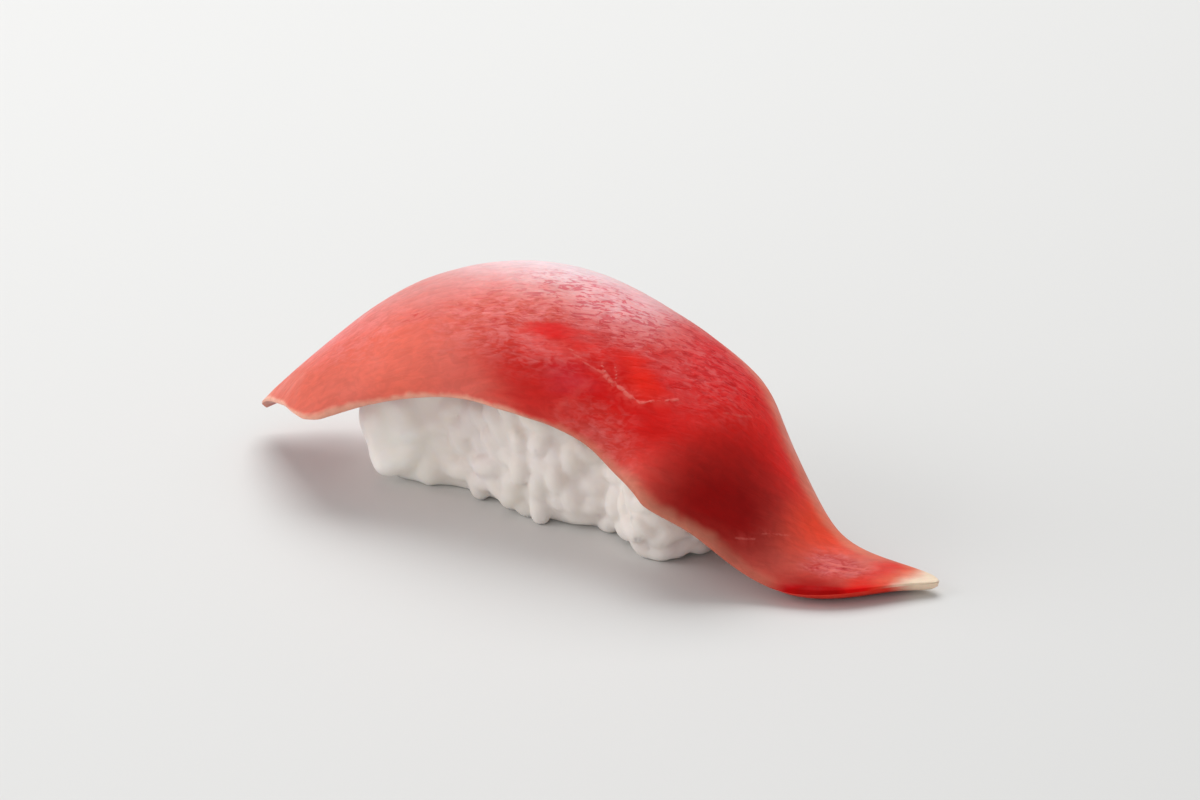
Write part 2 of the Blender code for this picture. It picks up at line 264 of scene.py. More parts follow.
def tint(red, green, blue):
    """A display colour, 0 to 255, as the linear colour that materials use."""
    shares = np.array((red, green, blue)) / 255
    return np.where(shares <= 0.04045, shares / 12.92, ((shares + 0.055) / 1.055) ** 2.4)


class Slice:
    """Places, fibre directions and colours over the slice's faces.

    along is the share of the crown line's length from the left tip, across is -1 at the near edge,
    0 on the crown line and 1 at the far edge.
    """

    def __init__(self):
        self.crown = rounded_line(CROWN_LINE)
        self.drift = profile(SIDE_DRIFT)
        self.near_width, self.far_width = profile(NEAR_WIDTH), profile(FAR_WIDTH)
        self.near_arch = profile(NEAR_ARCH, math.radians(1))
        self.far_arch = profile(FAR_ARCH, math.radians(1))
        self.thickness = profile(THICKNESS)
        self.x = np.linspace(CROWN_LINE[0][0], CROWN_LINE[-1][0], RUN_STEPS) * MM
        step = np.hypot(np.diff(self.x), np.diff(self.crown(self.x)))
        self.run = np.concatenate(([0], np.cumsum(step)))
        self.length = self.run[-1]
        lengthwise = np.cos(self.fibre_turn(self.run / self.length))
        self.fibre_run = np.concatenate(([0], np.cumsum(step * lengthwise[1:])))

    def station(self, along):
        return np.interp(along * self.length, self.run, self.x)

    def width(self, along, across):
        x = self.station(along)
        return np.where(across < 0, self.near_width(x), self.far_width(x))

    def upper_face(self, along, across):
        """Points of the upper face, for a column of along and a row of across."""
        x = self.station(along)
        width = self.width(along, across)
        steepest = np.where(across < 0, self.near_arch(x), self.far_arch(x))
        share = (np.arange(ARC_STEPS) + 0.5) / ARC_STEPS
        reach = np.abs(across)
        lean = steepest[..., None] * (reach[..., None] * share) ** ARCH_POWER
        out = width * reach * np.cos(lean).mean(-1) * np.sign(across)
        down = width * reach * np.sin(lean).mean(-1)
        before = np.maximum(x - FOLD_REACH, self.x[0])
        after = np.minimum(x + FOLD_REACH, self.x[-1])
        rise = (self.crown(after) - self.crown(before)) / (after - before)
        size = np.hypot(rise, 1)
        return np.stack(
            (
                x + rise / size * down,
                self.drift(x) + out,
                self.crown(x) - down / size,
            ),
            -1,
        )

    def thickness_at(self, along, across):
        lens = (1 - np.abs(across) ** LENS_POWER) ** LENS_ROUNDNESS
        return self.thickness(self.station(along)) * np.maximum(RIM_SHARE, lens)

    def flat_place(self, along, across):
        """The same place on the slice laid flat, in millimetres."""
        return along * self.length / MM, across * self.width(along, across) / MM

    def fibre_turn(self, along):
        """The angle between the fibres and the crown line, on the slice laid flat."""
        past = np.maximum(0, along - FIBRE_TURN_START)
        return np.arctan(2 * FIBRE_TURN * past / (self.length / MM))

    def fibre_place(self, along, across):
        """Millimetres along and across the muscle fibres.

        They run lengthwise at the left and turn more and more towards the far edge on the right.
        """
        s, w = self.flat_place(along, across)
        bend = FIBRE_TURN * np.maximum(0, along - FIBRE_TURN_START) ** 2
        bend = bend + FIBRE_WAVE * layered_noise(s / FIBRE_WAVE_LENGTH, w / 5, 141)
        steep = self.fibre_turn(along)
        straight = np.interp(along * self.length, self.run, self.fibre_run) / MM
        return straight + w * np.sin(steep), (w - bend) * np.cos(steep)


# Fields of colour on the laid-out slice: colour, middle (along, across), half sizes, tilt in
# degrees, share of the half size over which it fades, strength
FIELDS = (
    (tint(214, 101, 82), (0.14, -0.85), (0.22, 0.75), 0, 0.9, 0.85),
    (tint(240, 112, 90), (0.29, -0.80), (0.11, 0.55), 0, 0.9, 0.6),
    (tint(213, 139, 134), (0.28, 0.00), (0.24, 0.62), 0, 0.9, 0.9),
    (tint(204, 24, 18), (0.53, -0.68), (0.17, 0.50), 0, 0.75, 0.95),
    (tint(212, 6, 4), (0.63, -0.50), (0.17, 0.72), 0, 0.75, 0.95),
    (tint(242, 18, 12), (0.74, 0.18), (0.15, 1.00), 0, 0.7, 0.92),
    (tint(156, 4, 2), (0.782, -0.60), (0.125, 0.92), 0, 0.85, 1.0),
    (tint(250, 70, 38), (0.862, 0.34), (0.060, 1.05), 0, 0.8, 0.85),
    # the next two fields, the pale crest, are partly the flesh's paler colour and partly a painted
    # sheen from the light above
    (tint(246, 218, 222), (0.44, 0.20), (0.21, 0.60), 0, 0.85, 1.0),
    (tint(250, 186, 190), (0.528, 0.10), (0.088, 0.58), 0, 0.9, 0.85),
    (tint(230, 34, 44), (0.645, 0.24), (0.095, 0.74), 0, 0.9, 0.85),
    (tint(172, 6, 2), (0.908, -0.95), (0.060, 0.66), 0, 0.85, 0.95),
    (tint(184, 30, 40), (0.904, -0.30), (0.042, 0.42), 0, 0.9, 0.8),
    (tint(224, 40, 24), (0.952, -0.20), (0.030, 1.60), 0, 0.6, 0.85),
    (tint(206, 46, 60), (0.538, -0.66), (0.055, 0.15), 0, 0.9, 0.55),
    (tint(250, 98, 94), (0.490, -0.52), (0.070, 0.10), 0, 0.9, 0.6),
    (tint(184, 54, 44), (0.605, -0.88), (0.090, 0.20), 0, 0.9, 0.55),
    (tint(230, 30, 28), (0.496, -0.440), (0.050, 0.055), 16, 0.9, 0.95),
    (tint(236, 44, 36), (0.545, -0.45), (0.045, 0.085), 0, 0.9, 0.7),
    (tint(236, 32, 14), (0.612, -0.43), (0.055, 0.14), -12, 0.85, 0.95),
    (tint(224, 120, 118), (0.170, -0.30), (0.090, 0.36), 0, 0.9, 0.5),
)
PLAIN_FLESH = tint(218, 98, 84)
PALE_TIP = tint(221, 153, 126)
TAIL_BLUSH = tint(236, 120, 86)
CREAM_TIP = tint(246, 226, 200)
UNDER_FLESH = tint(176, 52, 42)
UNDER_TAIL_PAINTED_LIGHT = tint(232, 52, 34)
# painted light: a brighter red for the tail's lower rim, to lift the shade on its downward face
LEFT_EDGE = tint(242, 184, 160)
RIGHT_EDGE = tint(196, 128, 104)
# painted rim highlight: a pale band on the far shoulder where its outline shows
SHOULDER_RIM_HIGHLIGHT = tint(232, 150, 118)
PALE_FIBRE = tint(242, 140, 138)
GROOVE_SHADE = (0.80, 0.22, 0.30)  # a groove multiplies the flesh by this: partly its deeper red, partly painted shade in the groove
SINEW = tint(238, 122, 112)
BLUSH = tint(240, 190, 178)
RICE_WHITE = tint(235, 229, 223)
MARK_SIZES = ("Length", "Width", "Start", "Full", "Offset")

# Where the short dark grooves and the pale fibres show: middle, half sizes, tilt, fade, strength
GROOVED = (
    ((0.53, -0.14), (0.17, 0.46), 0, 0.7, 1.0),
    ((0.645, 0.12), (0.13, 0.62), 0, 0.7, 1.0),
    ((0.43, -0.40), (0.13, 0.34), 0, 0.9, 0.55),
    ((0.31, -0.44), (0.03, 0.08), 0, 0.8, 0.8),
    ((0.905, -0.30), (0.040, 0.40), 0, 0.8, 0.9),
)
PALE_FIBRED = (
    ((0.44, -0.38), (0.18, 0.50), 0, 0.9, 0.8),
    ((0.54, -0.16), (0.12, 0.36), 0, 0.8, 0.8),
    ((0.22, -0.40), (0.16, 0.45), 0, 0.9, 0.5),
    ((0.64, 0.05), (0.13, 0.60), 0, 0.9, 0.45),
    # at the tail's near side the pale fibres are partly the flesh's own and partly a painted
    # highlight
    ((0.905, -0.26), (0.045, 0.46), 0, 0.8, 0.75),
    ((0.62, -0.85), (0.10, 0.25), 0, 0.9, 0.3),
)

# Patches of even colour that no pale fibre crosses: the two bright lenses and the deep red
EVEN = (
    ((0.505, -0.44), (0.070, 0.075), 10, 0.6, 1.0),
    ((0.612, -0.43), (0.058, 0.145), -12, 0.6, 1.0),
    ((0.780, -0.60), (0.110, 0.86), 0, 0.6, 1.0),
)

# Where the flesh is less glossy
MATT = (
    ((0.900, -0.80), (0.085, 0.95), 0, 0.7, 0.9),
)

# Sinews: points (along, across), half width in millimetres and strength
SINEWS = (
    (((0.512, -0.50), (0.532, -0.535), (0.552, -0.55), (0.575, -0.56)), 0.10, 0.45),
    (((0.575, -0.56), (0.588, -0.57), (0.602, -0.56), (0.617, -0.565)), 0.18, 0.75),
    (((0.617, -0.565), (0.628, -0.56), (0.638, -0.51), (0.648, -0.45), (0.658, -0.38)), 0.11, 0.6),
    (((0.563, -0.505), (0.568, -0.53), (0.580, -0.565)), 0.09, 0.75),
    (((0.577, -0.48), (0.583, -0.51), (0.592, -0.565)), 0.08, 0.6),
    (((0.566, -0.66), (0.560, -0.74), (0.550, -0.86)), 0.45, 0.12),
    (((0.600, -0.80), (0.625, -0.77), (0.650, -0.79)), 0.2, 0.12),
    (((0.225, -0.49), (0.245, -0.51), (0.268, -0.57)), 0.2, 0.35),
    (((0.700, -0.20), (0.712, -0.08), (0.720, 0.02)), 0.1, 0.25),
    (((0.817, -0.77), (0.822, -0.72), (0.828, -0.66)), 0.09, 0.3),
    (((0.828, -0.56), (0.836, -0.45), (0.844, -0.33)), 0.09, 0.3),
    (((0.880, -0.34), (0.897, -0.30), (0.912, -0.27), (0.930, -0.22)), 0.18, 0.6),
    (((0.893, -0.46), (0.908, -0.44), (0.928, -0.38)), 0.2, 0.6),
)


def field_weight(along, across, middle, half, tilt, fade):
    """1 in the middle of a tilted oval of the laid-out slice, 0 outside it."""
    turn = math.radians(tilt)
    a = (along - middle[0]) * OVAL_LENGTH
    c = (across - middle[1]) * OVAL_WIDTH
    along_it = (a * math.cos(turn) + c * math.sin(turn)) / (half[0] * OVAL_LENGTH)
    across_it = (c * math.cos(turn) - a * math.sin(turn)) / (half[1] * OVAL_WIDTH)
    far = np.hypot(along_it, across_it)
    return 1 - ease(far, 1 - fade, 1)


def stroke_distance(shape, along, across, points):
    """Millimetres from a smooth stroke through points, on the laid-out slice."""
    knots = np.array(points, float)
    t = np.linspace(0, len(knots) - 1, 8 * len(knots))
    line = np.stack([np.interp(t, range(len(knots)), knots[:, k]) for k in (0, 1)], -1)
    s, w = shape.flat_place(line[:, 0], line[:, 1])
    here = shape.flat_place(along, across)
    nearest = np.full(np.broadcast(along, across).shape, 1e9)
    for i in range(len(line) - 1):
        run = np.array((s[i + 1] - s[i], w[i + 1] - w[i]))
        size = max(run @ run, 1e-12)
        part = np.clip(((here[0] - s[i]) * run[0] + (here[1] - w[i]) * run[1]) / size, 0, 1)
        gap = np.hypot(here[0] - s[i] - part * run[0], here[1] - w[i] - part * run[1])
        nearest = np.minimum(nearest, gap)
    return nearest


def blend(base, colour, weight):
    return base + (np.asarray(colour) - base) * weight[..., None]


def zone(along, across, spots):
    """The strongest of several fields at each place, from 0 to 1."""
    strongest = np.zeros(np.broadcast(along, across).shape)
    for middle, half, tilt, fade, strength in spots:
        weight = strength * field_weight(along, across, middle, half, tilt, fade)
        strongest = np.maximum(strongest, weight)
    return strongest


def paint_slice(shape, along, across):
    """What the flesh material reads: the colour, and by name where each kind of mark shows."""
    p, q = shape.fibre_place(along, across)
    s, w = shape.flat_place(along, across)
    drift_a = along + 0.012 * layered_noise(s / 9, w / 6, 21)
    drift_a = drift_a + 0.006 * layered_noise(p / 3, q / 0.9, 24)
    drift_c = across + 0.09 * layered_noise(s / 11, w / 6, 31)
    drift_c = drift_c + 0.06 * layered_noise(p / 5, q / 0.8, 34)
    colour = np.empty(np.broadcast(along, across).shape + (3,))
    colour[:] = PLAIN_FLESH
    for pigment, middle, half, tilt, fade, strength in FIELDS:
        weight = strength * field_weight(drift_a, drift_c, middle, half, tilt, fade)
        colour = blend(colour, pigment, weight)
    grooved = zone(drift_a, drift_c, GROOVED)
    even = zone(drift_a, drift_c, EVEN)
    grooved = grooved * (1 - 0.6 * even)
    fibred = zone(drift_a, drift_c, PALE_FIBRED) * (1 - even)

    away = np.full(grooved.shape, SINEW_REACH)
    share = np.zeros(grooved.shape)
    wander_a = along + 0.003 * layered_noise(s / 2.5, w / 2.5, 71)
    wander_c = across + 0.022 * layered_noise(s / 2.5, w / 2.5, 74)
    for points, half, strength in SINEWS:
        gap = stroke_distance(shape, wander_a, wander_c, points) / half
        share = np.where(gap < away, strength, share)
        away = np.minimum(away, gap)

    # the thin edge lets light through and looks pale
    edge = (1 - np.abs(across)) * shape.width(along, across) / MM
    ragged = edge + 0.35 * layered_noise(s / 3, w / 3, 81)
    ragged = ragged + 0.25 * layered_noise(s / 1.2, w / 1.2, 82)
    right = ease(along, 0.42, 0.62)[..., None]
    edge_colour = LEFT_EDGE * (1 - right) + RIGHT_EDGE * right
    tail_end = ease(along, *TAIL_END)
    wide = 0.7 + 0.9 * ease(along, 0.45, 0.7) - 0.5 * ease(along, 0.80, 0.85)
    wide = np.where(across < 0, wide, 0.8)
    strength = 0.75 - 0.35 * ease(along, 0.78, 0.84) - 0.6 * tail_end * (across < 0)
    colour = blend(colour, edge_colour, strength * (1 - ease(ragged, 0.15 * wide, 1.25 * wide)))
    # painted rim highlight: a pale band over the right shoulder's far side, where its outline shows
    rim = ease(along, 0.60, 0.67) * (1 - ease(along, 0.90, 0.95))
    rim = rim * ease(drift_c, 0.30, 0.62) * (1 - 0.5 * ease(drift_c, 0.9, 1.0))
    colour = blend(colour, SHOULDER_RIM_HIGHLIGHT, 0.45 * rim)
    tip = 1 - ease(along + 0.01 * layered_noise(s / 3, w / 3, 84), 0, 0.08)
    colour = blend(colour, PALE_TIP, 0.85 * tip)
    end = along + 0.010 * layered_noise(s / 3, w / 3, 87)
    blush = 0.75 * ease(end, 0.945, 0.972) * (1 - 0.6 * ease(-across, 0.5, 1))
    colour = blend(colour, TAIL_BLUSH, blush)
    colour = blend(colour, CREAM_TIP, 0.95 * ease(end, *CREAM_END))
    marks = {
        "grooved": grooved,
        "fibred": fibred,
        "sinew_away": away,
        "sinew_share": share,
        "matt": zone(drift_a, drift_c, MATT),
    }
    return np.clip(colour, 0, 1), marks


def face_normals(points):
    """Unit normals of a grid of points, outwards."""
    normal = np.cross(np.gradient(points, axis=0), np.gradient(points, axis=1))
    size = np.linalg.norm(normal, axis=2, keepdims=True)
    return normal / np.maximum(size, 1e-12)


def tuck_at(edge, lip):
    """How far a face draws in at this distance from the edge, to round the lip off."""
    lip = np.maximum(lip, 1e-6)
    nearness = np.clip(1 - edge / lip, 0, 1)
    return lip * (1 - np.sqrt(1 - nearness**2))


def add_object(name, data):
    """A new object of the scene that carries this data."""
    made = bpy.data.objects.new(name, data)
    bpy.context.scene.collection.objects.link(made)
    return made


def build_slice(shape):
    """A closed mesh of rings round the slice's section, one ring for each place along it."""
    along = np.linspace(0, 1, SLICE_ROWS)[:, None]
    top = np.sin(np.linspace(-0.5, 0.5, TOP_COLUMNS) * math.pi)[None]
    under = np.sin(np.linspace(0.5, -0.5, UNDER_COLUMNS + 2) * math.pi)[None, 1:-1]

    s, w = shape.flat_place(along, top)
    p, q = shape.fibre_place(along, top)
    colour, marks = paint_slice(shape, along, top)
    face = shape.upper_face(along, top)
    outward = face_normals(face)
    rim = shape.thickness(shape.station(along)) * RIM_SHARE
    lip = rim * LIP_SHARE
    edge = (1 - np.abs(top)) * shape.width(along, top)
    calm = ease(edge / MM, 0.3, 3)
    swell = 0.16 * layered_noise(s / 16, w / 9, 5) + 0.05 * layered_noise(p / 9, q / 1.9, 8)
    fine = 0.006 + 0.022 * marks["grooved"] + 0.014 * marks["fibred"]
    fine = fine * layered_noise(p / 1.7, q / 0.6, 11)
    ridge = 0.05 * marks["sinew_share"] * (1 - ease(marks["sinew_away"], 0.5, 3))
    relief = (swell + fine + ridge) * calm * MM
    relief = np.minimum(relief, HIGHEST_RELIEF)
    upper = face + outward * (relief - SKIN_INSET - tuck_at(edge, lip))[..., None]

    base = shape.upper_face(along, under)
    inward = face_normals(base)  # its columns run the other way, so its normals point in
    low_thick = shape.thickness_at(along, under)
    low_edge = (1 - np.abs(under)) * shape.width(along, under)
    lower = base + inward * (low_thick - tuck_at(low_edge, rim - lip))[..., None]

    rings = np.concatenate((upper, lower), axis=1)
    rings[..., 2] = np.maximum(rings[..., 2], TABLE_GAP)
    count = rings.shape[1]
    under_colour = np.broadcast_to(UNDER_FLESH, lower.shape).copy()
    rub = layered_noise(*shape.flat_place(along, under), 91)
    under_colour = under_colour * (1 + 0.1 * rub[..., None])
    tail_end = ease(along, *TAIL_END)
    under_edge = 1 - ease(low_edge / MM, 0.2, 1.6)
    under_colour = blend(under_colour, RIGHT_EDGE, 0.7 * under_edge * (1 - tail_end))
    # painted light: the tail's lower rim is painted a brighter red to lift the shade on its
    # downward face
    under_colour = blend(under_colour, UNDER_TAIL_PAINTED_LIGHT, under_edge * tail_end)
    under_colour = blend(under_colour, CREAM_TIP, 0.95 * ease(along + 0 * under, *CREAM_END))
    pigment = np.concatenate((colour, under_colour), axis=1)
    low_fibre = np.stack(np.broadcast_arrays(*shape.fibre_place(along, under)), -1)
    fibre = np.concatenate((np.stack(np.broadcast_arrays(p, q), -1), low_fibre), axis=1)
    for name, values in marks.items():
        below = SINEW_REACH if name == "sinew_away" else 0
        marks[name] = np.concatenate((values, np.full(low_thick.shape, below, float)), axis=1)

    size = SLICE_ROWS * count
    index = np.arange(size).reshape(SLICE_ROWS, count)
    following = np.roll(index, -1, axis=1)
    quads = np.stack((index[:-1], index[1:], following[1:], following[:-1]), -1).reshape(-1, 4)
    points = rings.reshape(-1, 3)
    ends = np.stack((rings[0].mean(0), rings[-1].mean(0)))
    first, last = size, size + 1
    fans = [(first, index[0, j], following[0, j]) for j in range(count)]
    fans += [(last, following[-1, j], index[-1, j]) for j in range(count)]

    mesh = bpy.data.meshes.new("tuna_flesh")
    mesh.from_pydata(np.concatenate((points, ends)).tolist(), [], quads.tolist() + fans)
    bm = bmesh.new()
    bm.from_mesh(mesh)
    bmesh.ops.recalc_face_normals(bm, faces=bm.faces)
    bm.to_mesh(mesh)
    bm.free()
    mesh.shade_smooth()

    def with_ends(values):
        left, right = (values[i].reshape(count, -1).mean(0, keepdims=True) for i in (0, -1))
        return np.concatenate((values.reshape(size, -1), left, right))

    pigments = mesh.attributes.new("flesh", "FLOAT_COLOR", "POINT")
    rgba = np.concatenate((with_ends(pigment), np.ones((len(mesh.vertices), 1))), axis=1)
    pigments.data.foreach_set("color", rgba.astype(np.float32).ravel())
    for name, values in marks.items():
        made = mesh.attributes.new(name, "FLOAT", "POINT")
        made.data.foreach_set("value", with_ends(values[..., None])[:, 0].astype(np.float32))
    flat = with_ends(fibre)
    layer = mesh.uv_layers.new(name="fibres")
    corner = np.empty(len(mesh.loops), np.int32)
    mesh.loops.foreach_get("vertex_index", corner)
    layer.data.foreach_set("uv", (flat[corner] / FIBRE_UV_SIZE).astype(np.float32).ravel())
    return add_object("tuna_flesh", mesh)


def signed_power(value, power):
    return math.copysign(abs(value) ** power, value)


def block_point(turn, level, inset, near_swell):
    """A point of the pressed block, as in the solid, drawn in by inset."""
    rise = -math.cos(level * math.pi)
    power = 2 / (UNDER_POWER if rise < 0 else UPPER_POWER)
    ring = max(0.0, math.sin(level * math.pi)) ** power
    reach = RICE_WIDEST_AT - RICE_BOTTOM if rise < 0 else RICE_TOP - RICE_WIDEST_AT
    height = RICE_WIDEST_AT + reach * signed_power(rise, power)
    along = signed_power(math.cos(turn), 2 / PLAN_POWER)
    aside = signed_power(math.sin(turn), 2 / PLAN_POWER)
    right = math.cos(turn) > 0
    half = (RICE_RIGHT if right else -RICE_LEFT) - inset
    lean = RIGHT_LEAN if right else LEFT_LEAN
    half -= lean * max(0.0, 1 - height / RICE_WIDEST_AT) ** LEAN_POWER
    half -= HIGH_LEAN * max(0.0, (height - RICE_WIDEST_AT) / (RICE_TOP - RICE_WIDEST_AT))
    foot_fullness = RIGHT_FOOT_FULLNESS if right else LEFT_FOOT_FULLNESS
    x = half * along * ring ** (foot_fullness if rise < 0 else HIGH_FULLNESS)
    half_width = RICE_HALF_WIDTH - inset
    if aside < 0:
        half_width += near_swell(x)
    return Vector((x, half_width * aside * ring, height))


def tree_of(piece):
    bm = bmesh.new()
    bm.from_mesh(piece.data)
    tree = BVHTree.FromBMesh(bm)
    bm.free()
    return tree


def steady_mesh(bm, name):
    """The mesh with its faces in one fixed order, so that the grains lie the same in every run."""
    bm.verts.index_update()
    faces = []
    for face in bm.faces:
        corners = [vert.index for vert in face.verts]
        first = corners.index(min(corners))
        faces.append(corners[first:] + corners[:first])
    mesh = bpy.data.meshes.new(name)
    mesh.from_pydata([vert.co[:] for vert in bm.verts], [], sorted(faces))
    bm.free()
    mesh.shade_smooth()
    return mesh


def lift_to_table(bm):
    for vert in bm.verts:
        vert.co.z = max(vert.co.z, TABLE_GAP)


def build_core(slice_tree):
    """The block under the grains, lumpy, and pressed down to just below the slice."""
    bm = bmesh.new()
    bmesh.ops.create_uvsphere(bm, u_segments=CORE_AROUND, v_segments=CORE_RINGS, radius=1)
    near_swell = profile(NEAR_SWELL)
    for vert in bm.verts:
        turn = math.atan2(vert.co.y, vert.co.x)
        level = math.acos(max(-1.0, min(1.0, -vert.co.z))) / math.pi
        vert.co = block_point(turn, level, CORE_INSET, near_swell)
    spots = np.array([vert.co[:] for vert in bm.verts]) / MM
    lump = CORE_LUMPS * layered_noise(spots[:, 0] / 6, spots[:, 2] / 5 + spots[:, 1] / 9, 3)
    for vert, height in zip(bm.verts, lump):
        beside = max(CORE_AXIS_ENDS[0], min(CORE_AXIS_ENDS[1], vert.co.x))
        axis = Vector((beside, 0, CORE_AXIS_HEIGHT))
        way = vert.co - axis
        reach = way.length
        way.normalize()
        reach += height * MM
        hit, _, _, away = slice_tree.ray_cast(axis, way)
        if hit is not None and away - CORE_UNDER_SLICE < reach:
            reach = away - CORE_UNDER_SLICE
        vert.co = axis + way * reach
    lift_to_table(bm)
    bmesh.ops.remove_doubles(bm, verts=bm.verts, dist=0.002 * MM)
    bmesh.ops.recalc_face_normals(bm, faces=bm.faces)
    mesh = steady_mesh(bm, "rice_core")
    room = mesh.attributes.new("room", "FLOAT", "POINT")
    values = []
    for vert in mesh.vertices:
        _, _, _, away = slice_tree.find_nearest(vert.co)
        clear = ease(away, CLEAR_OF_SLICE, CLEAR_OF_SLICE + 0.5 * MM)
        above_table = ease(vert.co.z, 0.3 * MM, 0.9 * MM)
        loose = 1 - (1 - FEWEST_AT_LEFT) * (1 - ease(vert.co.x, *PRESSED_PART))
        values.append(float(clear * above_table * loose))
    room.data.foreach_set("value", values)
    return add_object("rice_core", mesh)


class Nodes:
    """Adds nodes to one tree. An input takes a value, or the output that feeds it."""

    def __init__(self, tree):
        self.tree = tree

    def feed(self, node, inputs):
        for name, value in inputs.items():
            if isinstance(value, bpy.types.NodeSocket):
                self.tree.links.new(value, node.inputs[name])
            else:
                node.inputs[name].default_value = value

    def add(self, kind, inputs=None, **settings):
        made = self.tree.nodes.new(kind)
        for key, value in settings.items():
            setattr(made, key, value)
        self.feed(made, inputs or {})
        return made

    def math(self, operation, *values):
        made = self.add("ShaderNodeMath", dict(enumerate(values)), operation=operation)
        return made.outputs["Value"]

    def scaled(self, vector, factor):
        inputs = {0: vector, "Scale": factor}
        return self.add("ShaderNodeVectorMath", inputs, operation="SCALE").outputs["Vector"]

    def fade(self, value, start, full, most=1):
        """0 at start, most at full, smooth between them."""
        inputs = {"Value": value, "From Min": start, "From Max": full, "To Max": most}
        made = self.add("ShaderNodeMapRange", inputs, interpolation_type="SMOOTHSTEP")
        return made.outputs["Result"]

    def mix(self, base, colour, weight, blending="MIX"):
        inputs = {"A": base, "B": (*colour, 1), "Factor": weight}
        made = self.add("ShaderNodeMix", inputs, data_type="RGBA", blend_type=blending)
        return made.outputs["Result"]

    def attribute(self, name, output="Fac"):
        return self.add("ShaderNodeAttribute", attribute_name=name).outputs[output]

    def bump(self, height, strength, distance):
        inputs = {"Height": height, "Strength": strength, "Distance": distance}
        return self.add("ShaderNodeBump", inputs).outputs["Normal"]

    def moisture(self, tree, place, scale, driest, wettest):
        inputs = {"Place": place, "Patch Scale": scale, "Driest": driest, "Wettest": wettest}
        return self.add("ShaderNodeGroup", inputs, node_tree=tree).outputs


def new_group(name, kind, inputs, outputs):
    """A node group with its inputs and outputs, each given as a name and a type."""
    tree = bpy.data.node_groups.new(name, kind)
    for in_out, sockets in (("INPUT", inputs), ("OUTPUT", outputs)):
        for socket, sort in sockets:
            tree.interface.new_socket(socket, in_out=in_out, socket_type="NodeSocket" + sort)
    nodes = Nodes(tree)
    return nodes, nodes.add("NodeGroupInput").outputs, nodes.add("NodeGroupOutput")


def grain_mesh():
    """One cooked grain: plump, a little fuller at one end, flattened, with a slight bend."""
    bm = bmesh.new()
    bmesh.ops.create_uvsphere(bm, u_segments=9, v_segments=7, radius=0.5)
    for vert in bm.verts:
        x, y, z = vert.co
        fuller = 1 + GRAIN_TAPER * z
        blunt = signed_power(z * 2, GRAIN_BLUNTNESS) / 2
        sag = GRAIN_BEND * (z * z * 4 - 0.5) * GRAIN_DEPTH
        vert.co = (blunt * GRAIN_LENGTH, x * GRAIN_WIDTH * fuller, y * GRAIN_DEPTH * fuller - sag)
    bmesh.ops.recalc_face_normals(bm, faces=bm.faces)
    return add_object("one_grain", steady_mesh(bm, "one_grain"))


def grain_tree():
    """Scatters grains over a block: each lies flat on it, turned at random and partly sunk."""
    nodes, given, out = new_group(
        "lay_grains",
        "GeometryNodeTree",
        (
            ("Block", "Geometry"), ("Grain", "Object"), ("Spacing", "Float"), ("Sink", "Float"),
            ("Seed", "Int"), ("Material", "Material"),
        ),
        (("Grains", "Geometry"),),
    )
    nodes.tree.is_modifier = True
    add = nodes.add
    room = add("GeometryNodeInputNamedAttribute", {"Name": "room"}, data_type="FLOAT")
    where = {
        "Mesh": given["Block"],
        "Distance Min": given["Spacing"],
        "Density Max": GRAIN_PLACES_TRIED,
        "Density Factor": room.outputs["Attribute"],
        "Seed": given["Seed"],
    }
    spread = add("GeometryNodeDistributePointsOnFaces", distribute_method="POISSON")
    nodes.feed(spread, where)

    def draw(low, high, offset):
        inputs = {2: low, 3: high, "Seed": offset}
        return add("FunctionNodeRandomValue", inputs, data_type="FLOAT").outputs[1]

    def turn(rotation, axis, angle):
        about = add("FunctionNodeAxisAngleToRotation", {"Axis": axis, "Angle": angle})
        inputs = {"Rotation": rotation, "Rotate By": about.outputs["Rotation"]}
        made = add("FunctionNodeRotateRotation", inputs, rotation_space="LOCAL")
        return made.outputs["Rotation"]

    lie = turn(spread.outputs["Rotation"], (0, 0, 1), draw(-3.14159, 3.14159, 1))
    lie = turn(lie, (0, 1, 0), draw(-GRAIN_TILT, GRAIN_TILT, 2))
    lie = turn(lie, (1, 0, 0), draw(-GRAIN_TILT, GRAIN_TILT, 3))
    sink = nodes.math("MULTIPLY", given["Sink"], draw(-1.5, 0.6, 4))
    shift = nodes.scaled(spread.outputs["Normal"], sink)
    place = add("GeometryNodeSetPosition", {"Geometry": spread.outputs["Points"], "Offset": shift})
    grain = add("GeometryNodeObjectInfo", {"Object": given["Grain"]})
    inputs = {
        "Points": place.outputs["Geometry"],
        "Instance": grain.outputs["Geometry"],
        "Rotation": lie,
        "Scale": draw(0.86, 1.1, 5),
    }
    lay = add("GeometryNodeInstanceOnPoints", inputs)
    real = add("GeometryNodeRealizeInstances", {"Geometry": lay.outputs["Instances"]})
    inputs = {"Geometry": real.outputs["Geometry"], "Material": given["Material"]}
    finish = add("GeometryNodeSetMaterial", inputs)
    nodes.feed(out, {"Grains": finish.outputs["Geometry"]})
    return nodes.tree


def evaluated_mesh(carrier, name):
    """The carrier's mesh with its modifiers applied."""
    graph = bpy.context.evaluated_depsgraph_get()
    graph.update()
    mesh = bpy.data.meshes.new_from_object(carrier.evaluated_get(graph))
    mesh.name = name
    return mesh


